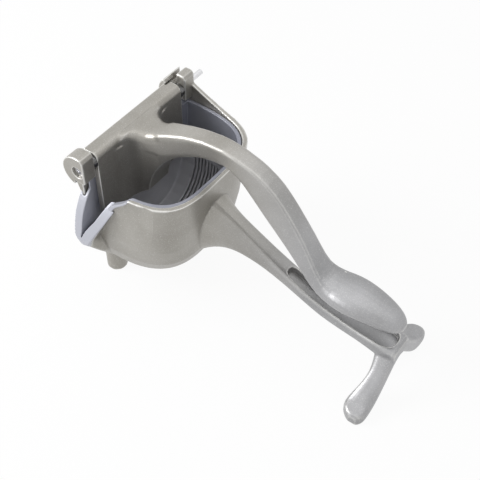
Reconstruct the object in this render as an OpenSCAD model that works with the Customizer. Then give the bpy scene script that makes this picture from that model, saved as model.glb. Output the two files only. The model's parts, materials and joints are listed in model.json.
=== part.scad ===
// Hinged lemon squeezer: a cast hopper on a long arm with a forked foot, a slotted
// strainer insert that ends in a pouring lip, and a press that swings on a hinge pin.
// X runs from the hinge towards the foot, Y along the hinge axis, Z up from the table.

/* [Hinge] */
// Height of the hinge axis above the table
hinge_h = 112; // [104:1:124]
// Distance from the middle to the outer face of each hinge ear
ear_reach = 56; // [54:1:62]
// Radius of the rounded back of a hinge ear
ear_r = 12; // [11:0.5:14]
// Distance from the hinge axis to the flat front of an ear
ear_front = 5.2; // [5:0.2:8]
// Distance from the hinge axis down to the underside of an ear
ear_drop = 8.2; // [7.8:0.2:10]
// Width of the right hinge ear
ear_w = 10.3; // [9.8:0.1:12]
// Radius of the rounded back of the press
knuckle_r = 6.9; // [6:0.1:7]
// Diameter of the hinge pin
pin_d = 5; // [4:0.5:6]
// Diameter of the thin end of the pin that stands out of the right ear
tip_d = 4; // [3:0.5:4]
// Length of that thin end
tip_len = 13.5; // [4:0.5:16]
// Diameter of the pin's socket head
head_d = 8; // [7:0.5:10]
// Thickness of the pin's socket head
head_t = 4; // [3:0.5:5]
// Width across the flats of the hexagon socket
hex_af = 4; // [2.5:0.5:4]
// Depth of the head's recess in the left ear
head_recess = 6; // [5:0.5:8]
// Thickness of the washer at the left end of the press
washer_t = 2.8; // [1:0.1:3]
// Thickness of the spacer ring at the right end of the press
spacer_t = 3.3; // [2:0.1:4]
// Outer diameter of the washer and of the spacer ring
washer_d = 10.4; // [10:0.2:14.4]

/* [Hopper] */
// Distance from the hinge axis to the front of the rim
hopper_reach = 69; // [66:1:76]
// How far the hopper's wall on the spout's side reaches out under the left ear
left_seat = 5.6; // [5.2:0.2:8]
// Distance from the hinge axis back to the hopper's rear face
hopper_back = 6.5; // [6.5:0.5:9]
// Distance from the hinge axis down to the front rim
rim_drop = 10; // [9:1:16]
// Distance from the hinge axis up to where the right wall leaves its ear
side_rise = 2; // [0:1:6]
// Height of the hopper's underside
belly_h = 14; // [10:1:22]
// Distance from the hinge axis down to where the walls turn in to the rounded belly
shoulder_drop = 52; // [46:1:58]
// Thickness of the cast walls
wall = 3.2; // [2.8:0.2:3.6]
// Diameter of the two stub feet under the hopper
peg_d = 14.6; // [12:0.2:16]
// Distance from the middle to the axis of each stub foot
peg_y = 30.2; // [28:0.2:38]

/* [Spout] */
// How far the bottom of the pouring lip stands out past the left ear
lip_out = 5.5; // [3:0.5:8]
// How far the mouth leans back at the height of the rim
lip_lean = 22; // [18:1:24]
// Distance from the rim down to the lowest point of the lip
lip_drop = 51; // [44:1:56]
// Radius of the outside of the lip's round bottom
lip_r = 8; // [7.5:0.5:9]
// Slope of the front edge of the spout, in degrees
lip_slope = 62.5; // [58:0.5:66]
// Width of the lip that covers the end of the spout
lip_w = 6.3; // [6.2:0.1:7]
// Thickness of that lip
lip_t = 3; // [2:0.5:4]

/* [Strainer insert] */
// Wall thickness of the insert
liner_t = 2.5; // [2:0.1:2.8]
// Distance from the front rim down to the insert's top edge
liner_drop = 1; // [1:0.5:6]
// Depth of the juice space under the insert
juice_gap = 4; // [3:0.5:6]
// Width of a strainer slot
slot_w = 1.3; // [1.1:0.1:1.5]
// Number of slots in each of the two rows
slot_count = 13; // [9:1:13]
// Distance from the hinge axis to the first slot
slot_start = 12; // [10:1:14]
// Distance from the last slot to the front of the rim
slot_margin = 21; // [19:1:24]
// Height at which the slots end
slot_top = 58; // [46:1:62]
// Width of the keel between the two rows of slots
keel_w = 5; // [4:0.5:8]

/* [Press] */
// Height of the press's flat top above the hinge axis
plate_h = 7; // [7:0.1:8]
// Distance from the hinge axis to the front of the press
plate_front = 4.8; // [4.6:0.1:5.2]
// Height of the handle's crown above the hinge axis
crown_h = 22.8; // [20:0.2:26]
// Distance from the hinge axis to the tip of the handle
handle_reach = 210; // [190:1:214]
// Width of the thumb rest
thumb_w = 29.8; // [24:0.2:32]
// Greatest depth of the handle at its shoulder
handle_depth = 22; // [19:0.2:23]

/* [Arm and foot] */
// Distance from the hinge axis to the front of the foot
foot_reach = 210.5; // [198:0.5:216]
// Distance from the middle to the end of each leg
leg_reach = 44.4; // [38:0.2:50]
// Depth of each leg from its rear edge to its front
leg_depth = 17; // [14:0.5:20]
// Height of the arm's end above the table
hub_h = 41; // [38:1:43]
// Width of the arm at the foot
arm_w = 21; // [19:0.2:23]
// Greatest width of the channel along the top of the arm
channel_w = 16.4; // [12:0.2:16.8]
// Depth of that channel
channel_d = 5.5; // [3:0.5:6]

/* [Hidden] */

cast_color = [0.62, 0.61, 0.58];
liner_color = [0.42, 0.43, 0.50];
steel_color = [0.78, 0.78, 0.80];

// Clearances between pieces
pin_gap = 0.06;
side_gap = 0.2;
fit_gap = 0.3;
knuckle_gap = 1;
cut = 1;
fine_fn = 64;
quarter = 90;

// Half width of the press between the ears
press_half = ear_reach - ear_w - spacer_t - 2 * side_gap;

// Places along the hinge and heights that follow it
ear_left = press_half + washer_t + 2 * side_gap;
ear_right = press_half + spacer_t + 2 * side_gap;
tip_end = ear_reach + tip_len;
lip_reach = ear_reach + lip_out;
rim_h = hinge_h - rim_drop;
side_h = hinge_h + side_rise;
shoulder_h = hinge_h - shoulder_drop;
sky = hinge_h + ear_r;

// The frame's origin lies on the table, midway between the ends of the whole squeezer
mid_x = (foot_reach - ear_r) / 2;
mid_y = (tip_end - lip_reach) / 2;
module placed() translate([-mid_x, -mid_y, 0]) children();

// Number of points round half of a hopper ring and round a swept bar
half_steps = 22;
bar_steps = 24;
corner_steps = 4;

// Points on a closed ring of a bar: a rounded rectangle of half width 1 and half height 1
function unit_ring(n, power) = [for (i = [0 : n - 1])
    let (a = 360 * (i + 0.5) / n, c = cos(a), s = sin(a))
    [sign(c) * pow(abs(c), 2 / power), sign(s) * pow(abs(s), 2 / power)]];

// One value on a smooth curve through four neighbours
function smooth(p, q, r, s, t) = let (m = (r - p) / 2, n = (s - q) / 2)
    q + m * t + ((r - q) * 3 - m * 2 - n) * t * t + ((q - r) * 2 + m + n) * t * t * t;

// Rows of a table with extra rows on a smooth curve between them
function refine(rows, steps) = let (last = len(rows) - 1) concat(
    [for (i = [0 : last - 1], k = [0 : steps - 1])
        smooth(rows[max(i - 1, 0)], rows[i], rows[i + 1], rows[min(i + 2, last)], k / steps)],
    [rows[last]]);

// A closed solid through a list of rings with equal numbers of points
module loft(rings) {
    n = len(rings[0]);
    last = len(rings) - 1;
    polyhedron(
        points = [for (ring = rings, p = ring) p],
        faces = concat(
            [[for (i = [0 : n - 1]) i]],
            [for (k = [0 : last - 1], i = [0 : n - 1])
                let (a = k * n + i, b = k * n + (i + 1) % n) [a, a + n, b + n]],
            [for (k = [0 : last - 1], i = [0 : n - 1])
                let (a = k * n + i, b = k * n + (i + 1) % n) [a, b + n, b]],
            [[for (i = [n - 1 : -1 : 0]) last * n + i]]),
        convexity = 6);
}

// A flat outline in X and Z, drawn out along Y from y_low to y_high
module side_slab(y_low, y_high)
    translate([0, y_high, 0]) rotate([quarter, 0, 0])
        linear_extrude(y_high - y_low, convexity = 6) children();

// A cylinder along the hinge axis from y_low to y_high
module hinge_rod(r, y_low, y_high)
    translate([0, y_high, hinge_h]) rotate([quarter, 0, 0])
        cylinder(h = y_high - y_low, r = r, $fn = fine_fn);

// Hopper

// Half width of the hopper at the rim, flush with the right ear, and on the spout's side
hopper_half = ear_reach;
left_half = ear_left + left_seat;

// Width of the walls at the shoulder and of the flat belly, as shares of the rim
draft_share = 0.93;
belly_share = 0.4;
belly_power = 2.1;
ring_height_shares = [0, 0.03, 0.1, 0.22, 0.4, 0.65, 1];
// Squareness of the rim on the right and on the spout's side, and of the belly
rim_power = 3.4;
spout_side_power = 4;
belly_ring_power = 2.3;
// Where the bowed front of a ring meets its straight rear end, and the rear corners
bow_x = 2;
corner_share = 0.6;

// Width of a ring at height z over a belly at height low, as a share of the rim
function swell(z, low) = z >= shoulder_h
    ? 1 - (1 - draft_share) * max(rim_h - z, 0) / (rim_h - shoulder_h)
    : let (d = (shoulder_h - z) / (shoulder_h - low))
        draft_share * (belly_share + (1 - belly_share)
            * pow(max(1 - pow(d, belly_power), 0), 1 / belly_power));

// Exponent of a ring at height z that has the given squareness at the rim
function ring_exponent(z, low, power) =
    2 / (belly_ring_power + (power - belly_ring_power) * min((z - low) / (shoulder_h - low), 1));

// A ring of the hopper at height z, set in from the outer face by inset
function hopper_ring(z, low, inset) =
    let (k = swell(z, low), a = hopper_reach * k - inset - bow_x,
        e_right = ring_exponent(z, low, rim_power), e_left = ring_exponent(z, low, spout_side_power),
        right = hopper_half * k - inset, left = left_half * min(k / draft_share, 1) - inset,
        back = inset - hopper_back, r = (bow_x - back) * corner_share)
    concat(
        [for (i = [0 : half_steps - 1])
            let (t = quarter * (1 - i / half_steps))
            [bow_x + a * pow(cos(t), e_left), -left * pow(sin(t), e_left), z]],
        [for (i = [0 : half_steps])
            let (t = quarter * i / half_steps)
            [bow_x + a * pow(cos(t), e_right), right * pow(sin(t), e_right), z]],
        [for (i = [0 : corner_steps]) let (t = quarter * (1 + i / corner_steps))
            [back + r + r * cos(t), right - r + r * sin(t), z]],
        [for (i = [0 : corner_steps]) let (t = quarter * (2 + i / corner_steps))
            [back + r + r * cos(t), r - left + r * sin(t), z]]);

// Solid of the hopper from its belly at height low up to height top
module hopper_solid(low, top, inset)
    loft(concat(
        [for (q = ring_height_shares) hopper_ring(low + q * (shoulder_h - low), low, inset)],
        [hopper_ring(rim_h, low, inset), hopper_ring(top, low, inset)]));

// Spout

spout_root_y = 34;
spout_root_drop = 35;
lip_h = rim_h - lip_drop;
lip_x = lip_r - hopper_back;
lip_z = lip_h + lip_r;
lip_top = hinge_h - ear_r - fit_gap;
lip_steps = 8;

// The V of the spout, set in by inset and lowered by drop
module spout_outline(inset, drop) {
    r = lip_r - inset;
    front = 3 * quarter + lip_slope;
    run = (sky - lip_z) / sin(lip_slope);
    arc = [for (i = [0 : lip_steps])
        let (t = 2 * quarter + (front - 2 * quarter) * i / lip_steps)
        [lip_x + r * cos(t), lip_z - drop + r * sin(t)]];
    tail = arc[lip_steps] + (run + drop) * [cos(lip_slope), sin(lip_slope)];
    polygon(concat(arc, [tail, [lip_x - r, tail[1]]]));
}

// Solid of the spout from inside the hopper out past the mouth
module spout_solid(inset, lift)
    hull() {
        side_slab(-lip_reach - cut, -lip_reach) spout_outline(inset, 0);
        side_slab(-spout_root_y - cut, -spout_root_y) spout_outline(inset, spout_root_drop - lift);
    }

// Rows of the mouth's outline seen along X: height between the lip's bottom and the rim,
// and place between the bottom's reach and the full lean
mouth_shares = [
    [-0.40, 0.030],
    [0.00, 0.000],
    [0.16, 0.015],
    [0.32, 0.085],
    [0.47, 0.190],
    [0.58, 0.315],
    [0.69, 0.480],
    [0.80, 0.690],
    [1.00, 1.000],
    [1.40, 1.250]];

function mouth_curve(depth) = [for (row = refine(mouth_shares, 2))
    [depth - lip_reach + lip_lean * row[1], lip_h + lip_drop * row[0]]];

// Everything on one side of the mouth, out to the place far_y
module mouth_side(depth, far_y) {
    curve = mouth_curve(depth);
    last = len(curve) - 1;
    translate([-hopper_reach, 0, 0]) rotate([quarter, 0, quarter])
        linear_extrude(2 * hopper_reach, convexity = 6)
            polygon(concat(
                [[far_y, -hinge_h], [curve[0][0], -hinge_h]],
                curve,
                [[curve[last][0], 2 * sky], [far_y, 2 * sky]]));
}

module beyond_mouth(depth) mouth_side(depth, -2 * lip_reach);

// Rim

// Rows of the side wall's top: place over the hopper's reach, and rise over the rim as
// a share of the rise at the ear
rim_shares = [
    [0.125, 0.858],
    [0.236, 0.558],
    [0.319, 0.367],
    [0.420, 0.170],
    [0.507, 0.060],
    [0.620, 0.000],
    [0.870, 0.000]];

// The corner of the press that comes nearest to the rear wall when it swings
plate_back = 6.5;
rear_h = hinge_h - norm([plate_back, plate_h]) - knuckle_gap;

module rim_slab(y_low, y_high, rear_top)
    side_slab(y_low, y_high)
        polygon(concat(
            [[-hinge_h, -cut], [-hinge_h, rear_top], [ear_front, rear_top], [ear_front, side_h]],
            [for (row = refine(rim_shares, 2))
                [row[0] * hopper_reach, rim_h + row[1] * (side_h - rim_h)]],
            [[hopper_reach + hinge_h, rim_h], [hopper_reach + hinge_h, -cut]]));

module below_rim() {
    rim_slab(-hinge_h, hinge_h, rear_h);
    rim_slab(ear_right, hinge_h, hinge_h);
}

// Ears

// The ear's flat front and underside, with a bevel along its top
ear_bevel = 2.4;
ear_front_top = 8.9;
rib_w = 5;
rib_h = 24;

module ear(y_low, y_high, rib_low) {
    intersection() {
        hinge_rod(ear_r, y_low, y_high);
        side_slab(y_low, y_high) translate([0, hinge_h])
            polygon([
                [-ear_r - cut, -ear_r - cut],
                [wall - hopper_back, -ear_r - cut],
                [wall - hopper_back, -ear_drop],
                [ear_front, -ear_drop],
                [ear_front, ear_front_top],
                [ear_front - ear_bevel, ear_r + cut],
                [-ear_r - cut, ear_r + cut]]);
    }
    side_slab(rib_low, rib_low + rib_w) translate([0, hinge_h])
        polygon([
            [-ear_r, 0],
            [-ear_r, -ear_drop],
            [-hopper_back, -rib_h],
            [wall - hopper_back, -rib_h],
            [wall - hopper_back, 0]]);
}

// The raised lug behind the right ear, which stands in over the end of the press
lug_in_r = 9;
lug_over = 4;
lug_y = press_half - lug_over;
lug_start_deg = 128;
lug_end_deg = 200;
notch_back = 6.8;
notch_front = 2.2;
notch_floor = 3.4;

module lug()
    intersection() {
        difference() {
            hinge_rod(ear_r, lug_y, ear_right + cut);
            hinge_rod(lug_in_r, lug_y - cut, ear_right + 2 * cut);
        }
        side_slab(lug_y, ear_reach) translate([0, hinge_h])
            polygon([
                [0, 0],
                2 * ear_r * [cos(lug_start_deg), sin(lug_start_deg)],
                2 * ear_r * [-1, 0],
                2 * ear_r * [cos(lug_end_deg), sin(lug_end_deg)]]);
    }

module ear_notch()
    translate([-notch_back, lug_y, hinge_h + notch_floor])
        cube([notch_back - notch_front, ear_reach, 2 * ear_r]);

// Arm and foot

// Rows of the arm: place between the hopper and the foot's front, top and bottom over the
// hub's height, width over the arm's width, and squareness of the ring
arm_start_share = 0.783;
arm_shares = [
    [0.000, 2.146, 0.707, 2.000, 2.4],
    [0.045, 2.098, 0.902, 1.714, 2.4],
    [0.096, 2.007, 1.032, 1.257, 2.4],
    [0.147, 1.893, 1.122, 0.971, 2.5],
    [0.204, 1.776, 1.171, 0.810, 2.7],
    [0.275, 1.634, 1.176, 0.724, 3.0],
    [0.358, 1.468, 1.134, 0.676, 3.4],
    [0.454, 1.293, 1.032, 0.657, 4.0],
    [0.550, 1.132, 0.898, 0.667, 4.5],
    [0.639, 1.041, 0.790, 0.705, 4.5],
    [0.728, 1.000, 0.756, 0.781, 4.5],
    [0.818, 0.980, 0.751, 0.876, 4.5],
    [0.895, 0.985, 0.722, 0.971, 4.5],
    [0.952, 0.976, 0.671, 1.000, 4.5],
    [0.986, 0.956, 0.698, 0.943, 4.5],
    [1.000, 0.922, 0.732, 0.838, 4.5]];
arm_start = arm_start_share * hopper_reach;

function arm_place(share) = arm_start + share * (foot_reach - arm_start);

function arm_ring(row) =
    let (top = row[1] * hub_h, low = row[2] * hub_h, w = row[3] * arm_w / 2)
    [for (p = unit_ring(bar_steps, row[4]))
        [arm_place(row[0]), p[0] * w, (top + low) / 2 + p[1] * (top - low) / 2]];

module arm() loft([for (row = refine(arm_shares, 2)) arm_ring(row)]);

// Rows of a leg: place along the leg's reach, rear and front edges behind the foot's front
// over the leg's depth, top and bottom over the hub's height
leg_shares = [
    [-0.113, 0.971, 0.012, 0.951, 0.659],
    [0.113, 0.888, 0.000, 0.907, 0.598],
    [0.248, 0.776, 0.000, 0.780, 0.439],
    [0.383, 0.712, 0.000, 0.622, 0.268],
    [0.518, 0.782, 0.000, 0.463, 0.110],
    [0.653, 0.918, 0.006, 0.322, -0.007],
    [0.788, 0.994, 0.006, 0.229, -0.037],
    [0.890, 0.912, 0.024, 0.202, -0.037],
    [0.957, 0.735, 0.100, 0.188, -0.037],
    [1.000, 0.547, 0.241, 0.146, -0.037]];
leg_power = 3.6;

function leg_ring(row) =
    let (x_low = foot_reach - row[1] * leg_depth, x_high = foot_reach - row[2] * leg_depth,
        top = row[3] * hub_h, low = row[4] * hub_h)
    [for (p = unit_ring(bar_steps, leg_power))
        [(x_low + x_high) / 2 - p[0] * (x_high - x_low) / 2, row[0] * leg_reach,
            (top + low) / 2 + p[1] * (top - low) / 2]];

module leg() loft([for (row = refine(leg_shares, 2)) leg_ring(row)]);

// Half of the channel's outline from above: place over the foot's reach, width over the
// channel's half width
channel_shares = [
    [0.589, 0.000],
    [0.593, 0.354],
    [0.606, 0.524],
    [0.627, 0.561],
    [0.713, 0.646],
    [0.784, 0.744],
    [0.855, 0.866],
    [0.912, 0.963],
    [0.945, 1.000],
    [0.967, 0.841],
    [0.979, 0.512],
    [0.982, 0.000]];

// The channel along the top of the arm, cut from above
module channel_cut() {
    half = [for (row = channel_shares) [row[0] * foot_reach, row[1] * channel_w / 2]];
    last = len(half) - 1;
    intersection() {
        linear_extrude(2 * hub_h)
            polygon(concat(half, [for (i = [last - 1 : -1 : 1]) [half[i][0], -half[i][1]]]));
        side_slab(-arm_w, arm_w)
            polygon(concat(
                [for (row = refine(arm_shares, 2)) [arm_place(row[0]), row[1] * hub_h - channel_d]],
                [[foot_reach, 3 * hub_h], [0, 3 * hub_h]]));
    }
}

// Lower body

peg_x = -hopper_back / 2;
peg_top = 30;

module lower_body() color(cast_color) placed()
    difference() {
        union() {
            difference() {
                union() {
                    intersection() {
                        union() {
                            hopper_solid(belly_h, side_h, 0);
                            difference() {
                                spout_solid(fit_gap, 0);
                                beyond_mouth(lip_t);
                            }
                        }
                        below_rim();
                    }
                    arm();
                    for (side = [-1, 1]) translate([peg_x, side * peg_y, 0]) {
                        cylinder(h = peg_top, d = peg_d, $fn = fine_fn);
                        translate([0, 0, peg_top])
                            cylinder(h = peg_d, d1 = peg_d, d2 = peg_d / 2, $fn = fine_fn);
                    }
                }
                hopper_solid(belly_h + wall, sky, wall);
                spout_solid(fit_gap + wall, wall);
            }
            ear(-ear_reach, -ear_left, -ear_left - rib_w);
            difference() {
                ear(ear_right, ear_reach, ear_reach - rib_w);
                ear_notch();
            }
            lug();
            leg();
            mirror([0, 1, 0]) leg();
        }
        hinge_rod(pin_d / 2 + pin_gap, -ear_reach - cut, ear_reach + cut);
        hinge_rod(head_d / 2 + side_gap, -ear_reach - cut, head_recess - ear_reach);
        channel_cut();
        translate([-hinge_h, -hinge_h, -hinge_h])
            cube([foot_reach + 2 * hinge_h, 2 * hinge_h, hinge_h]);
    }

// Strainer insert

liner_out = wall + fit_gap;
liner_in = liner_out + liner_t;
liner_low = belly_h + wall + juice_gap;
liner_h = rim_h - liner_drop;
slot_pitch = (hopper_reach - slot_margin - slot_start) / (slot_count - 1);
panel_front = 3.5;
panel_h = 46;

module below_liner_top()
    translate([-hinge_h, -hinge_h, 0]) cube([3 * hinge_h, 2 * hinge_h, liner_h]);

module strainer_slots()
    for (i = [0 : slot_count - 1], side = [-1, 1])
        translate([slot_start + i * slot_pitch, side * (keel_w + hopper_half) / 2, slot_top / 2])
            cube([slot_w, hopper_half, slot_top], center = true);

// The band that covers the end of the spout
module lip()
    difference() {
        spout_solid(0, 0);
        beyond_mouth(0);
        mouth_side(lip_t - fit_gap, hopper_half);
        hopper_solid(belly_h, sky, -fit_gap);
        translate([-hinge_h, -hinge_h, lip_top]) cube(2 * hinge_h);
    }

// The upright panel beside the right end of the blade
module panel()
    intersection() {
        hopper_solid(liner_low, sky, liner_out);
        translate([-hopper_back, press_half + knuckle_gap, liner_h - panel_h])
            cube([hopper_back + panel_front, hopper_half, panel_h]);
    }

module strainer_insert() color(liner_color) placed()
    union() {
        difference() {
            intersection() {
                union() {
                    hopper_solid(liner_low, sky, liner_out);
                    difference() {
                        spout_solid(2 * fit_gap + liner_out, wall + juice_gap);
                        beyond_mouth(0);
                    }
                    lip();
                }
                below_liner_top();
            }
            hopper_solid(liner_low + liner_t, sky + cut, liner_in);
            spout_solid(lip_w, wall + juice_gap + liner_t);
            strainer_slots();
        }
        panel();
    }

// Press

// Rows of the handle: place along its reach, height of its middle over the crown's
// height, depth over the greatest depth, width over the thumb rest's width, squareness
handle_shares = [
    [0.014, 0.813, 0.855, 1.611, 5.0],
    [0.027, 0.813, 0.855, 1.342, 5.0],
    [0.034, 0.813, 0.855, 1.087, 4.6],
    [0.045, 0.813, 0.855, 0.906, 4.2],
    [0.062, 0.813, 0.855, 0.765, 4.0],
    [0.086, 0.814, 0.855, 0.691, 3.8],
    [0.121, 0.833, 0.845, 0.624, 3.6],
    [0.167, 0.868, 0.809, 0.550, 3.4],
    [0.227, 0.911, 0.718, 0.483, 3.3],
    [0.292, 0.944, 0.609, 0.450, 3.3],
    [0.358, 0.955, 0.559, 0.443, 3.3],
    [0.420, 0.929, 0.664, 0.443, 3.3],
    [0.466, 0.891, 0.845, 0.443, 3.3],
    [0.511, 0.833, 0.991, 0.443, 3.2],
    [0.562, 0.746, 0.973, 0.450, 3.0],
    [0.625, 0.631, 0.814, 0.483, 2.8],
    [0.676, 0.531, 0.618, 0.557, 2.6],
    [0.712, 0.478, 0.618, 0.678, 2.4],
    [0.748, 0.455, 0.691, 0.846, 2.3],
    [0.786, 0.452, 0.727, 0.966, 2.2],
    [0.824, 0.452, 0.727, 1.000, 2.2],
    [0.862, 0.451, 0.709, 0.946, 2.2],
    [0.900, 0.446, 0.664, 0.852, 2.2],
    [0.938, 0.435, 0.582, 0.738, 2.2],
    [0.967, 0.425, 0.473, 0.591, 2.2],
    [0.987, 0.419, 0.318, 0.396, 2.2],
    [0.998, 0.417, 0.136, 0.168, 2.2]];
crown_z = hinge_h + crown_h;

function handle_point(row) = [row[0] * handle_reach, row[1] * crown_z];

// A ring square to the path at row k
function handle_ring(rows, k) =
    let (row = rows[k], here = handle_point(row),
        along = handle_point(rows[min(k + 1, len(rows) - 1)]) - handle_point(rows[max(k - 1, 0)]),
        u = along / norm(along), h = row[2] * handle_depth / 2, w = row[3] * thumb_w / 2)
    [for (p = unit_ring(bar_steps, row[4]))
        [here[0] - u[1] * p[1] * h, p[0] * w, here[1] + u[0] * p[1] * h]];

module handle() {
    rows = refine(handle_shares, 2);
    loft([for (k = [0 : len(rows) - 1]) handle_ring(rows, k)]);
}

// The bar along the hinge, with a rounded front edge, and the blade below it
plate_round = 4.5;
plate_steps = 6;
blade_share = 0.52;
blade_draft = 1.5;
blade_len = blade_share * (hinge_h - belly_h);
blade_low = hinge_h - blade_len;
blade_corner_r = 8;
blade_back = fit_gap + wall + liner_t + fit_gap - hopper_back;

module plate_side() {
    top = hinge_h + plate_h;
    polygon(concat(
        [[-plate_back, hinge_h], [blade_back, hinge_h], [blade_back, blade_low]],
        [[plate_front - blade_draft, blade_low], [plate_front, hinge_h]],
        [for (i = [0 : plate_steps]) let (t = quarter * i / plate_steps)
            [plate_front - plate_round * (1 - cos(t)), top - plate_round * (1 - sin(t))]],
        [[-plate_back, top]]));
}

// Front outline of the blade with its rounded lower corners
module blade_front_outline()
    translate([0, blade_low]) {
        translate([-press_half, blade_corner_r]) square([2 * press_half, 2 * blade_len]);
        for (side = [-1, 1])
            translate([side * (press_half - blade_corner_r), blade_corner_r])
                circle(r = blade_corner_r, $fn = fine_fn);
        translate([blade_corner_r - press_half, 0])
            square([2 * (press_half - blade_corner_r), 2 * blade_len]);
    }

// Half width of the web under the handle: place along the handle's reach, and width over
// the half width of the press
flare_shares = [
    [0.023, 0.667],
    [0.027, 0.512],
    [0.034, 0.386],
    [0.045, 0.319],
    [0.062, 0.269],
    [0.086, 0.243],
    [0.121, 0.212],
    [0.167, 0.184],
    [0.227, 0.162],
    [0.292, 0.150],
    [0.370, 0.147]];

module web_plan() {
    half = [for (row = refine(flare_shares, 2)) [row[0] * handle_reach, row[1] * press_half]];
    last = len(half) - 1;
    polygon(concat(
        [[0, half[0][1]]], half,
        [for (i = [last : -1 : 0]) [half[i][0], -half[i][1]]],
        [[0, -half[0][1]]]));
}

// Side outline of the web, open in front under an arch
arch_x = 76;
arch_drop = 50.5;
arch_r = 60;
arch_rise_share = 1.018;
arch_steps = 24;
arch_end_deg = 90;
arch_low_deg = 172;

module web_side()
    polygon(concat(
        [[0, blade_low], [plate_front - blade_draft, blade_low]],
        [for (i = [0 : arch_steps]) let (t = arch_low_deg + (arch_end_deg - arch_low_deg) * i / arch_steps)
            [arch_x + arch_r * cos(t), hinge_h - arch_drop + arch_r * arch_rise_share * sin(t)]],
        [for (i = [10 : -1 : 5]) [handle_shares[i][0] * handle_reach, handle_shares[i][1] * crown_z]],
        [[0, hinge_h]]));

// The press's rear corner is cut back under the lug
lug_gap = 0.6;
module lug_clearance()
    intersection() {
        difference() {
            hinge_rod(2 * ear_r, lug_y - lug_gap, press_half + cut);
            hinge_rod(lug_in_r - cut, lug_y - 2 * lug_gap, press_half + 2 * cut);
        }
        translate([-2 * ear_r, 0, hinge_h - cut]) cube([2 * ear_r - notch_front, hopper_half, 2 * ear_r]);
    }

module upper_press() color(cast_color) placed()
    difference() {
        union() {
            intersection() {
                side_slab(-press_half, press_half) plate_side();
                translate([-handle_reach, 0, 0]) rotate([quarter, 0, quarter])
                    linear_extrude(2 * handle_reach, convexity = 6) blade_front_outline();
            }
            intersection() {
                linear_extrude(crown_z, convexity = 6) web_plan();
                side_slab(-press_half, press_half) web_side();
            }
            intersection() {
                hinge_rod(knuckle_r, -press_half, press_half);
                translate([-2 * knuckle_r, -press_half, 0])
                    cube([2 * knuckle_r, 2 * press_half, 2 * hinge_h]);
            }
            handle();
        }
        lug_clearance();
        hinge_rod(pin_d / 2 + pin_gap, -press_half - cut, press_half + cut);
    }

// Hinge pin, washer and spacer

module hinge_pin() color(steel_color) placed()
    difference() {
        union() {
            hinge_rod(pin_d / 2, head_recess - ear_reach - cut, ear_reach);
            hinge_rod(head_d / 2, head_recess - head_t - ear_reach, head_recess - ear_reach);
            hinge_rod(tip_d / 2, ear_reach - cut, tip_end);
        }
        translate([0, head_recess - ear_reach - head_t / 2, hinge_h]) rotate([quarter, 0, 0])
            cylinder(h = head_t, d = hex_af / cos(30), $fn = 6);
    }

module hinge_ring(y_low, thickness)
    difference() {
        hinge_rod(washer_d / 2, y_low, y_low + thickness);
        hinge_rod(pin_d / 2 + pin_gap, y_low - cut, y_low + thickness + cut);
    }

module washer_left() color(steel_color) placed()
    hinge_ring(side_gap - ear_left, washer_t);

module spacer_ring() color(steel_color) placed()
    hinge_ring(press_half + side_gap, spacer_t);

lower_body();
strainer_insert();
upper_press();
hinge_pin();
washer_left();
spacer_ring();
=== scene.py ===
"""Hinged lemon squeezer: looks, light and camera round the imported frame.

Lengths are in metres. The tables of shapes are in millimetres from the foot of
the hinge: x towards the thumb rest, y along the hinge axis, z up from the table.
"""
import json
import math

import bmesh
import bpy
from mathutils import Matrix, Vector

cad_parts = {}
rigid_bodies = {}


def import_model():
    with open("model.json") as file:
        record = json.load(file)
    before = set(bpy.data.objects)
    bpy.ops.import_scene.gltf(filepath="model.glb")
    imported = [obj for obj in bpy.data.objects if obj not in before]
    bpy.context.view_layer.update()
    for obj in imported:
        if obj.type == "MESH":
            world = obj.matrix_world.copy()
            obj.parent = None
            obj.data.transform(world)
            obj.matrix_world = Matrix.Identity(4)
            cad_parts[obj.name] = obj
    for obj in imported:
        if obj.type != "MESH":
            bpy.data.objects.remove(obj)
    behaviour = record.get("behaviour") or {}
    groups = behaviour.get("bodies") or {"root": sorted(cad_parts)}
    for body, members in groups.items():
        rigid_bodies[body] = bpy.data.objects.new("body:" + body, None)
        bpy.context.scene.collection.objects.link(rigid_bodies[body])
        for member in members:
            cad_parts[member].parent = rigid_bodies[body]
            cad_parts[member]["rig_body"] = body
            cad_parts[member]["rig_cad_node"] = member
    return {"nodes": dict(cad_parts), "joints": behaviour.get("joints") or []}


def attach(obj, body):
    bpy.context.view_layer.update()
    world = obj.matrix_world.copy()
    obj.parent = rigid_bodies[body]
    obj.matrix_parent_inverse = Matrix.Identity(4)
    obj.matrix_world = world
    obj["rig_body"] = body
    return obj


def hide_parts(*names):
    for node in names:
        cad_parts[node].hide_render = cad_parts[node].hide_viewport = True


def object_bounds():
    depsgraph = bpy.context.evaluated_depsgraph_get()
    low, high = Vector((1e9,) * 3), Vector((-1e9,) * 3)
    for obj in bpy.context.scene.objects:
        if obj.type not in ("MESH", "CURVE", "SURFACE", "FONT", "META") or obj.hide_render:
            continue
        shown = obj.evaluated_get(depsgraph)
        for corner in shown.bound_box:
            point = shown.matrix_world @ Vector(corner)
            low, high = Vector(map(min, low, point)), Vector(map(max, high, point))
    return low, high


MM = 0.001
IMAGE_PX = 480
SENSOR_W = 36.0

# Camera, as seen from the foot of the hinge
CAM_AZIMUTH = 35.977
CAM_ELEVATION = 48.249
CAM_ROLL = 0.166
CAM_FOCAL_PX = 927.743
CAM_RIGHT = 68.567 * MM
CAM_UP = -0.669 * MM
CAM_DISTANCE = 690.696 * MM
CAM_CLIP = 50 * MM

# Floor, surroundings and lamps: place from the object's middle, size and power
FLOOR_SIZE = 6.0
FLOOR_SHADE = 0.86
FLOOR_ROUGH = 0.9
FLOOR_GLOSS = 0.1
FLOOR_WHITE = 0.93
SKY_LIGHT = 0.52
LAMPS = {
    "top": ((0.05, 0.15, 0.95), 0.9, 1.6),
    "left": ((-0.75, -0.55, 0.55), 0.6, 9.0)}

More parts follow.
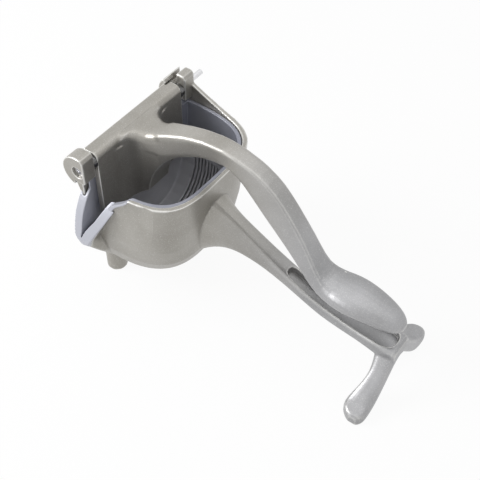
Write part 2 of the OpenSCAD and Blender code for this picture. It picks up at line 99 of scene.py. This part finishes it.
# Rounding of the pieces: grid and smoothing passes, how strong each pass is, and what counts as one point
CAST_GRID = (0.5 * MM, 5)
MOULD_GRID = (0.45 * MM, 3)
RELAX = 0.5
WELD = 1e-6

# Casting paint: darker and lighter shade by the hinge and by the foot, and the x where it turns
PAINT_WARM = ((0.33, 0.315, 0.285), (0.40, 0.385, 0.355))
PAINT_COOL = ((0.32, 0.32, 0.325), (0.40, 0.40, 0.41))
PAINT_TURN = (-0.03, 0.05)
PAINT_FLAKE = (0.70, 0.70, 0.69)
# Painted highlight: lighter colour laid on convex edges, where the lamps catch them
PAINT_EDGE_HIGHLIGHT = (0.74, 0.735, 0.71)
# Painted shade: dark colour laid in hollows and creases, where shade falls
PAINT_HOLLOW_SHADE = (0.12, 0.115, 0.105)
PAINT_METAL = 0.68

# Insert: darker and lighter shade of its wall and its bowl, the lip, and where they meet; the bowl is
# painted paler as painted light in the deep bowl, and the lip is painted paler as painted light where the
# band faces the lamps
WALL_SHADES = ((0.24, 0.25, 0.30), (0.30, 0.31, 0.36))
LIT_BOWL_SHADES = ((0.52, 0.52, 0.54), (0.60, 0.60, 0.62))
LIP_PAINTED_LIGHT = (0.45, 0.46, 0.51)
LIT_LIP_TURN_Y = (-0.054, -0.046)
LIT_BOWL_TURN_Z = (0.056, 0.072)
INSERT_METAL = 0.25

# Darker and lighter shade of the pin, and of the washer and the spacer; the washer's and the spacer's are
# near black, painted shade for the dark gap beside the blade
PIN_SHADES = ((0.66, 0.66, 0.67), (0.78, 0.78, 0.80))
WASHER_GAP_SHADES = ((0.10, 0.10, 0.10), (0.22, 0.22, 0.22))

# Blade: front face of the press from the hinge axis, and how far its draft reaches down and back
PRESS_FRONT = 4.8 * MM
DRAFT_DROP = 60 * MM
DRAFT_DEPTH = 2 * MM

# Handle in mm: place in front of the hinge, height of its middle, half depth, half width, squareness,
# and how far past the last row the section still holds
HANDLE_ROWS = (
    (25.4, 112.3, 9.3, 9.3, 3.6), (35.1, 117.0, 8.9, 8.2, 3.4), (47.7, 122.8, 7.9, 7.2, 3.3),
    (61.3, 127.3, 6.7, 6.7, 3.3), (75.2, 128.7, 6.1, 6.6, 3.3), (88.2, 125.2, 7.3, 6.6, 3.3),
    (97.9, 120.1, 9.3, 6.6, 3.3), (107.3, 112.3, 10.9, 6.6, 3.2), (118.0, 100.6, 10.7, 6.7, 3.0),
    (131.2, 85.1, 9.0, 7.2, 2.8), (142.0, 71.6, 6.8, 8.3, 2.6), (149.5, 64.4, 6.8, 10.1, 2.4),
    (157.1, 61.3, 7.6, 12.6, 2.3), (165.1, 60.9, 8.0, 14.4, 2.2))
HANDLE_PAST = 8.0
# Squareness of the new section, where it fades out, and which points count as lying on the surface
EDGE_POWER = 8.0
EDGE_FADE = (135.0, 160.0)
ON_SURFACE = (0.93, 1.07)

# Front edge of the pouring band in mm: a point on it, and its lean with height and along the hinge
EDGE_POINT = (8.6, -61.5, 55.3)
EDGE_LEAN_Z = 0.5206
EDGE_LEAN_Y = 0.6626
BAND_W = 7.1
# How far the band's outer and inner edges are drawn back, in mm, by place along the hinge
PULL_ROWS = ((-61.5, 3.1, 4.3), (-57.2, 5.2, 4.3), (-50.4, 10.2, 8.0), (-43.4, 12.9, 11.0))
# Where the pull is at work, and the spans in mm over which it sets in and fades out: along the hinge,
# near the table, near the peak of the rim and in front of the edge
MOUTH_Y = -46.0
MOUTH_Z = (38.0, 103.0)
SIDE_FADE = (46.2, 47.4)
LOW_FADE = (38.0, 56.0)
PEAK_FADE = (88.0, 102.0)
PEAK_SHARE = 0.7
FRONT_REACH = 26.0
FRONT_FADE = 22.0
# The line behind which nothing moves, in mm: how far behind the hinge it starts, its two steps
# forward with the heights over which they rise, and its fade
HEEL_X = 4.0
HEEL_LOW = (6.0, 50.0, 74.0)
HEEL_HIGH = (8.0, 90.0, 100.0)
HEEL_FADE = 8.0

# End of the pouring band in mm: height, and its inner and outer edges in front of the hinge
BAND_ROWS = (
    (85.0, 17.0, 20.8), (88.0, 18.4, 21.7), (91.0, 20.7, 23.9),
    (94.0, 24.3, 27.1), (98.0, 29.5, 31.9), (101.4, 33.1, 35.0))
BAND_SIDES = (-51.3, -47.2)
BAND_ROUND = 0.5 * MM
BAND_ROUND_STEPS = 3

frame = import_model()
cad_low, cad_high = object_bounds()
hinge = Vector(frame["joints"][0]["pos_m"])
hinge_foot = Vector((hinge.x, hinge.y, 0.0))


def ramp(value, low, high):
    """Rises smoothly from 0 at low to 1 at high."""
    share = min(max((value - low) / (high - low), 0.0), 1.0)
    return share * share * (3.0 - 2.0 * share)


def between(rows, place, column=1):
    """A column of a table at a place, on straight lines between its rows."""
    place = max(place, rows[0][0])
    for low, high in zip(rows, rows[1:]):
        if place <= high[0]:
            return low[column] + (high[column] - low[column]) * (place - low[0]) / (high[0] - low[0])
    return rows[-1][column]


def node_tree(material):
    """The material's node tree, cleared, with a shader that is linked to its output."""
    material.use_nodes = True
    tree = material.node_tree
    tree.nodes.clear()
    shader = tree.nodes.new("ShaderNodeBsdfPrincipled")
    output = tree.nodes.new("ShaderNodeOutputMaterial")
    tree.links.new(shader.outputs[0], output.inputs["Surface"])
    return tree, shader


def noise(tree, scale, detail=2.0, stretch=(1.0, 1.0, 1.0)):
    """Noise in object space; scale counts its features per metre."""
    place = tree.nodes.new("ShaderNodeTexCoord")
    mapping = tree.nodes.new("ShaderNodeMapping")
    mapping.inputs["Scale"].default_value = stretch
    texture = tree.nodes.new("ShaderNodeTexNoise")
    texture.inputs["Scale"].default_value = scale
    texture.inputs["Detail"].default_value = detail
    texture.inputs["Roughness"].default_value = 0.5
    tree.links.new(place.outputs["Object"], mapping.inputs["Vector"])
    tree.links.new(mapping.outputs[0], texture.inputs["Vector"])
    return texture.outputs["Fac"]


def position(tree):
    """The place on the object, as sockets X, Y and Z in metres."""
    place = tree.nodes.new("ShaderNodeTexCoord")
    split = tree.nodes.new("ShaderNodeSeparateXYZ")
    tree.links.new(place.outputs["Object"], split.inputs[0])
    return split.outputs


def spread(tree, source, span, first=0.0, last=1.0):
    """Maps a value's span to first..last, clamped."""
    node = tree.nodes.new("ShaderNodeMapRange")
    node.inputs["From Min"].default_value = span[0]
    node.inputs["From Max"].default_value = span[1]
    node.inputs["To Min"].default_value = first
    node.inputs["To Max"].default_value = last
    tree.links.new(source, node.inputs["Value"])
    return node.outputs["Result"]


def blend_colours(tree, factor, first, second):
    """A colour between two, each a tuple or a socket."""
    node = tree.nodes.new("ShaderNodeMix")
    node.data_type = "RGBA"
    tree.links.new(factor, node.inputs["Factor"])
    for socket, colour in ((node.inputs[6], first), (node.inputs[7], second)):
        if isinstance(colour, tuple):
            socket.default_value = (*colour, 1.0)
        else:
            tree.links.new(colour, socket)
    return node.outputs[2]


def bump(tree, shader, heights):
    """Stacks bumps; heights is a list of (value, distance in metres, strength)."""
    last = None
    for value, distance, strength in heights:
        node = tree.nodes.new("ShaderNodeBump")
        node.inputs["Distance"].default_value = distance
        node.inputs["Strength"].default_value = strength
        tree.links.new(value, node.inputs["Height"])
        if last:
            tree.links.new(last, node.inputs["Normal"])
        last = node.outputs[0]
    tree.links.new(last, shader.inputs["Normal"])


def painted_casting():
    """Satin aluminium paint: flakes, faint mottling, painted highlight on convex edges, painted shade in
    hollows, cooler by the foot.
    """
    material = bpy.data.materials.new("cast_aluminium")
    tree, shader = node_tree(material)
    cloud = noise(tree, 28.0, 3.0)
    flake = noise(tree, 1700.0, 1.0)
    fine = noise(tree, 900.0)
    mottle = spread(tree, cloud, (0.35, 0.65))
    warm = blend_colours(tree, mottle, *PAINT_WARM)
    cool = blend_colours(tree, mottle, *PAINT_COOL)
    paint = blend_colours(tree, spread(tree, position(tree)["X"], PAINT_TURN), warm, cool)
    flaked = blend_colours(tree, spread(tree, flake, (0.58, 0.70), last=0.35), paint, PAINT_FLAKE)
    convexity = tree.nodes.new("ShaderNodeNewGeometry").outputs["Pointiness"]
    # Convex edges get a lighter painted highlight, and hollows and creases get darker painted shade
    edge = spread(tree, convexity, (0.507, 0.54), last=0.9)
    hollow_shade = spread(tree, convexity, (0.455, 0.493), 0.8, 0.0)
    edge_highlighted = blend_colours(tree, edge, flaked, PAINT_EDGE_HIGHLIGHT)
    tree.links.new(blend_colours(tree, hollow_shade, edge_highlighted, PAINT_HOLLOW_SHADE), shader.inputs["Base Color"])
    tree.links.new(spread(tree, fine, (0.3, 0.7), 0.34, 0.44), shader.inputs["Roughness"])
    shader.inputs["Metallic"].default_value = PAINT_METAL
    bump(tree, shader, [(cloud, 0.4 * MM, 0.25), (fine, 0.05 * MM, 0.35)])
    return material


def insert_plastic():
    """Blue-grey moulded liner with a soft satin face; its bowl and its lip are painted paler, as painted
    light.
    """
    material = bpy.data.materials.new("insert_plastic")
    tree, shader = node_tree(material)
    cloud = noise(tree, 35.0)
    fine = noise(tree, 1200.0)
    place = position(tree)
    mottle = spread(tree, cloud, (0.3, 0.7))
    wall = blend_colours(tree, mottle, *WALL_SHADES)
    # The bowl's paler shades are painted light, standing in for the light the deep bowl lacks
    lit_bowl = blend_colours(tree, mottle, *LIT_BOWL_SHADES)
    liner = blend_colours(tree, spread(tree, place["Z"], LIT_BOWL_TURN_Z, 1.0, 0.0), wall, lit_bowl)
    # The lip's paler shade is painted light, where the band faces the lamps
    lit_lip = spread(tree, place["Y"], LIT_LIP_TURN_Y, 1.0, 0.0)
    tree.links.new(blend_colours(tree, lit_lip, liner, LIP_PAINTED_LIGHT), shader.inputs["Base Color"])
    tree.links.new(spread(tree, fine, (0.3, 0.7), 0.30, 0.38), shader.inputs["Roughness"])
    shader.inputs["Metallic"].default_value = INSERT_METAL
    bump(tree, shader, [(cloud, 0.3 * MM, 0.2), (fine, 0.03 * MM, 0.2)])
    return material


def turned_steel(name, shades):
    """Turned steel between two shades, with rings round the hinge axis."""
    material = bpy.data.materials.new(name)
    tree, shader = node_tree(material)
    rings = noise(tree, 900.0, stretch=(0.05, 1.0, 0.05))
    fine = noise(tree, 1500.0, 1.0)
    grain = blend_colours(tree, spread(tree, fine, (0.3, 0.7)), *shades)
    tree.links.new(grain, shader.inputs["Base Color"])
    tree.links.new(spread(tree, rings, (0.3, 0.7), 0.2, 0.34), shader.inputs["Roughness"])
    shader.inputs["Metallic"].default_value = 1.0
    bump(tree, shader, [(rings, 0.02 * MM, 0.3)])
    return material


def straighten_blade(shell):
    """Brings the blade's drafted face level with the foot of the web, so that no step shows."""
    face_x = hinge.x + PRESS_FRONT
    for vert in shell.verts:
        drop = hinge.z - vert.co.z
        if 0.0 < drop < DRAFT_DROP and -DRAFT_DEPTH < vert.co.x - face_x < 0.0:
            vert.co.x = face_x


def handle_section(x, z):
    """The handle's section nearest to a point: the way to the point, the path's direction, the row."""
    best = None
    for low, high in zip(HANDLE_ROWS, HANDLE_ROWS[1:]):
        along = Vector((high[0] - low[0], high[1] - low[1]))
        share = Vector((x - low[0], z - low[1])).dot(along) / along.length_squared
        share = min(max(share, 0.0), 1.0)
        row = [a + (b - a) * share for a, b in zip(low, high)]
        off = Vector((x - row[0], z - row[1]))
        if best is None or off.length < best[0].length:
            best = (off, along.normalized(), row)
    return best


def sharpen_handle(shell):
    """Makes the handle's section squarer, so that its edges show as the casting's do."""
    for vert in shell.verts:
        x, y, z = (vert.co - hinge_foot) / MM
        if not HANDLE_ROWS[0][0] < x < HANDLE_ROWS[-1][0] + HANDLE_PAST:
            continue
        off, along, (place, _, half_depth, half_width, square) = handle_section(x, z)
        rise = off.y * along.x - off.x * along.y
        across, height = abs(y) / half_width, abs(rise) / half_depth
        own = (across ** square + height ** square) ** (1.0 / square)
        if not ON_SURFACE[0] < own < ON_SURFACE[1]:
            continue
        power = square + (EDGE_POWER - square) * (1.0 - ramp(place, *EDGE_FADE))
        grow = own / (across ** power + height ** power) ** (1.0 / power) - 1.0
        vert.co += Vector((-along.y * rise * grow, y * grow, along.x * rise * grow)) * MM


def straighten_band(mesh):
    """Draws the front edge of the mouth back to a straight line."""
    for vert in mesh.vertices:
        x, y, z = (vert.co - hinge_foot) / MM
        if y > MOUTH_Y or not MOUTH_Z[0] < z < MOUTH_Z[1]:
            continue
        edge = EDGE_POINT[0] + EDGE_LEAN_Z * (z - EDGE_POINT[2]) + EDGE_LEAN_Y * (y - EDGE_POINT[1])
        outer, inner = between(PULL_ROWS, y), between(PULL_ROWS, y, 2)
        pull = outer + (inner - outer) * min(max((edge - x) / BAND_W, 0.0), 1.0)
        heel = HEEL_LOW[0] * ramp(z, *HEEL_LOW[1:]) + HEEL_HIGH[0] * ramp(z, *HEEL_HIGH[1:]) - HEEL_X
        near = ramp(x, heel, heel + HEEL_FADE) * ramp(edge + FRONT_REACH - x, 0.0, FRONT_FADE)
        level = ramp(z, *LOW_FADE) * (1.0 - PEAK_SHARE * ramp(z, *PEAK_FADE))
        vert.co.x -= pull * near * ramp(-y, *SIDE_FADE) * level * MM


def band_end():
    """The tapered end of the pouring band, up to the peak of the rim."""
    shell = bmesh.new()
    rings = []
    near, far = BAND_SIDES
    for height, inner, outer in BAND_ROWS:
        corners = ((inner, near), (outer, near), (outer, far), (inner, far))
        rings.append([shell.verts.new(hinge_foot + Vector((x, y, height)) * MM) for x, y in corners])
    for low, high in zip(rings, rings[1:]):
        for i in range(4):
            j = (i + 1) % 4
            shell.faces.new((low[i], low[j], high[j], high[i]))
    shell.faces.new(rings[0][::-1])
    shell.faces.new(rings[-1])
    bmesh.ops.recalc_face_normals(shell, faces=shell.faces)
    mesh = bpy.data.meshes.new("band_end")
    shell.to_mesh(mesh)
    shell.free()
    piece = bpy.data.objects.new("band_end", mesh)
    bpy.context.scene.collection.objects.link(piece)
    bevel = piece.modifiers.new("edge", "BEVEL")
    bevel.width = BAND_ROUND
    bevel.segments = BAND_ROUND_STEPS
    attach(piece, frame["nodes"]["strainer_insert"]["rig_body"])
    return piece


def welded_mesh(node, name):
    """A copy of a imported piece's mesh without double points. The press's is straightened and sharpened."""
    mesh = frame["nodes"][node].data.copy()
    shell = bmesh.new()
    shell.from_mesh(mesh)
    bmesh.ops.remove_doubles(shell, verts=shell.verts, dist=WELD)
    if node == "upper_press":
        straighten_blade(shell)
        sharpen_handle(shell)
    shell.to_mesh(mesh)
    shell.free()
    mesh.name = name
    return mesh


def rounded_copy(node, name, grid):
    """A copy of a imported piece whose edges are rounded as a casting's are, and which stands for it."""
    source = frame["nodes"][node]
    mesh = welded_mesh(node, name)
    piece = bpy.data.objects.new(name, mesh)
    bpy.context.scene.collection.objects.link(piece)
    remesh = piece.modifiers.new("cast", "REMESH")
    remesh.mode = "VOXEL"
    remesh.voxel_size = grid[0]
    remesh.use_smooth_shade = True
    relax = piece.modifiers.new("round", "SMOOTH")
    relax.factor = RELAX
    relax.iterations = grid[1]
    evaluated = piece.evaluated_get(bpy.context.evaluated_depsgraph_get())
    baked = bpy.data.meshes.new_from_object(evaluated)
    piece.modifiers.clear()
    piece.data = baked
    bpy.data.meshes.remove(mesh)
    piece.data.name = name
    if node != "upper_press":
        straighten_band(baked)
    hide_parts(node)
    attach(piece, source["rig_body"])
    return piece


def dress(piece, material):
    """Gives a piece its material."""
    piece.data.materials.clear()
    piece.data.materials.append(material)


def camera():
    """The photograph's view, placed from the foot of the hinge."""
    azimuth = math.radians(CAM_AZIMUTH)
    elevation = math.radians(CAM_ELEVATION)
    roll = math.radians(CAM_ROLL)
    level = Vector((math.cos(azimuth), math.sin(azimuth), 0.0))
    back = Vector((level.y * math.cos(elevation), -level.x * math.cos(elevation), math.sin(elevation)))
    steep = back.cross(level)
    right = level * math.cos(roll) + steep * math.sin(roll)
    up = steep * math.cos(roll) - level * math.sin(roll)
    data = bpy.data.cameras.new("camera")
    data.sensor_width = SENSOR_W
    data.lens = CAM_FOCAL_PX / IMAGE_PX * SENSOR_W
    data.clip_start = CAM_CLIP
    obj = bpy.data.objects.new("camera", data)
    turn = Matrix((right, up, back)).transposed()
    place = hinge_foot + right * CAM_RIGHT + up * CAM_UP + back * CAM_DISTANCE
    obj.matrix_world = Matrix.Translation(place) @ turn.to_4x4()
    bpy.context.scene.collection.objects.link(obj)
    bpy.context.scene.camera = obj


def area_light(name, place, target, size, power):
    """A square soft light that looks at a point."""
    data = bpy.data.lights.new(name, "AREA")
    data.size = size
    data.energy = power
    obj = bpy.data.objects.new(name, data)
    obj.location = place
    obj.rotation_mode = "QUATERNION"
    obj.rotation_quaternion = (target - place).to_track_quat("-Z", "Y")
    bpy.context.scene.collection.objects.link(obj)


def white_for_camera(tree, share):
    """How far a ray sees plain white: camera, glossy and transmission rays do."""
    path = tree.nodes.new("ShaderNodeLightPath")
    seen = path.outputs["Is Camera Ray"]
    for ray in ("Is Glossy Ray", "Is Transmission Ray"):
        either = tree.nodes.new("ShaderNodeMath")
        either.operation = "MAXIMUM"
        tree.links.new(seen, either.inputs[0])
        tree.links.new(path.outputs[ray], either.inputs[1])
        seen = either.outputs[0]
    scaled = tree.nodes.new("ShaderNodeMath")
    scaled.operation = "MULTIPLY"
    scaled.inputs[1].default_value = share
    tree.links.new(seen, scaled.inputs[0])
    return scaled.outputs[0]


def pale_floor():
    """A wide floor that the camera sees nearly white, and that still takes the shadow."""
    bpy.ops.mesh.primitive_plane_add(size=FLOOR_SIZE, location=(0, 0, 0))
    floor = bpy.context.object
    floor.name = "floor"
    material = bpy.data.materials.new("floor")
    tree, shader = node_tree(material)
    shader.inputs["Base Color"].default_value = (FLOOR_SHADE, FLOOR_SHADE, FLOOR_SHADE, 1.0)
    shader.inputs["Roughness"].default_value = FLOOR_ROUGH
    shader.inputs["Specular IOR Level"].default_value = FLOOR_GLOSS
    glow = tree.nodes.new("ShaderNodeEmission")
    glow.inputs["Strength"].default_value = 1.0
    mix = tree.nodes.new("ShaderNodeMixShader")
    output = next(node for node in tree.nodes if node.type == "OUTPUT_MATERIAL")
    tree.links.new(white_for_camera(tree, FLOOR_WHITE), mix.inputs[0])
    tree.links.new(shader.outputs[0], mix.inputs[1])
    tree.links.new(glow.outputs[0], mix.inputs[2])
    tree.links.new(mix.outputs[0], output.inputs["Surface"])
    floor.data.materials.append(material)


def studio():
    """White surroundings and large soft lamps."""
    world = bpy.data.worlds.new("studio")
    bpy.context.scene.world = world
    world.use_nodes = True
    background = world.node_tree.nodes["Background"]
    background.inputs["Color"].default_value = (1.0, 1.0, 1.0, 1.0)
    white = white_for_camera(world.node_tree, 1.0)
    strength = spread(world.node_tree, white, (0.0, 1.0), first=SKY_LIGHT)
    world.node_tree.links.new(strength, background.inputs["Strength"])
    centre = (cad_low + cad_high) / 2
    for name, (place, size, power) in LAMPS.items():
        area_light(name, centre + Vector(place), centre, size, power)
    bpy.context.scene.view_settings.view_transform = "Standard"


camera()
pale_floor()
studio()
casting = painted_casting()
plastic = insert_plastic()
bright_steel = turned_steel("pin_steel", PIN_SHADES)
# The washer and the spacer get painted shade: near-black steel standing in for the dark gap beside the blade
gap_shade_steel = turned_steel("washer_painted_shade_steel", WASHER_GAP_SHADES)
for node_name in ("lower_body", "upper_press"):
    dress(rounded_copy(node_name, node_name + "_cast", CAST_GRID), casting)
dress(rounded_copy("strainer_insert", "strainer_insert_moulded", MOULD_GRID), plastic)
dress(band_end(), plastic)
dress(frame["nodes"]["hinge_pin"], bright_steel)
for node_name in ("washer_left", "spacer_ring"):
    dress(frame["nodes"][node_name], gap_shade_steel)
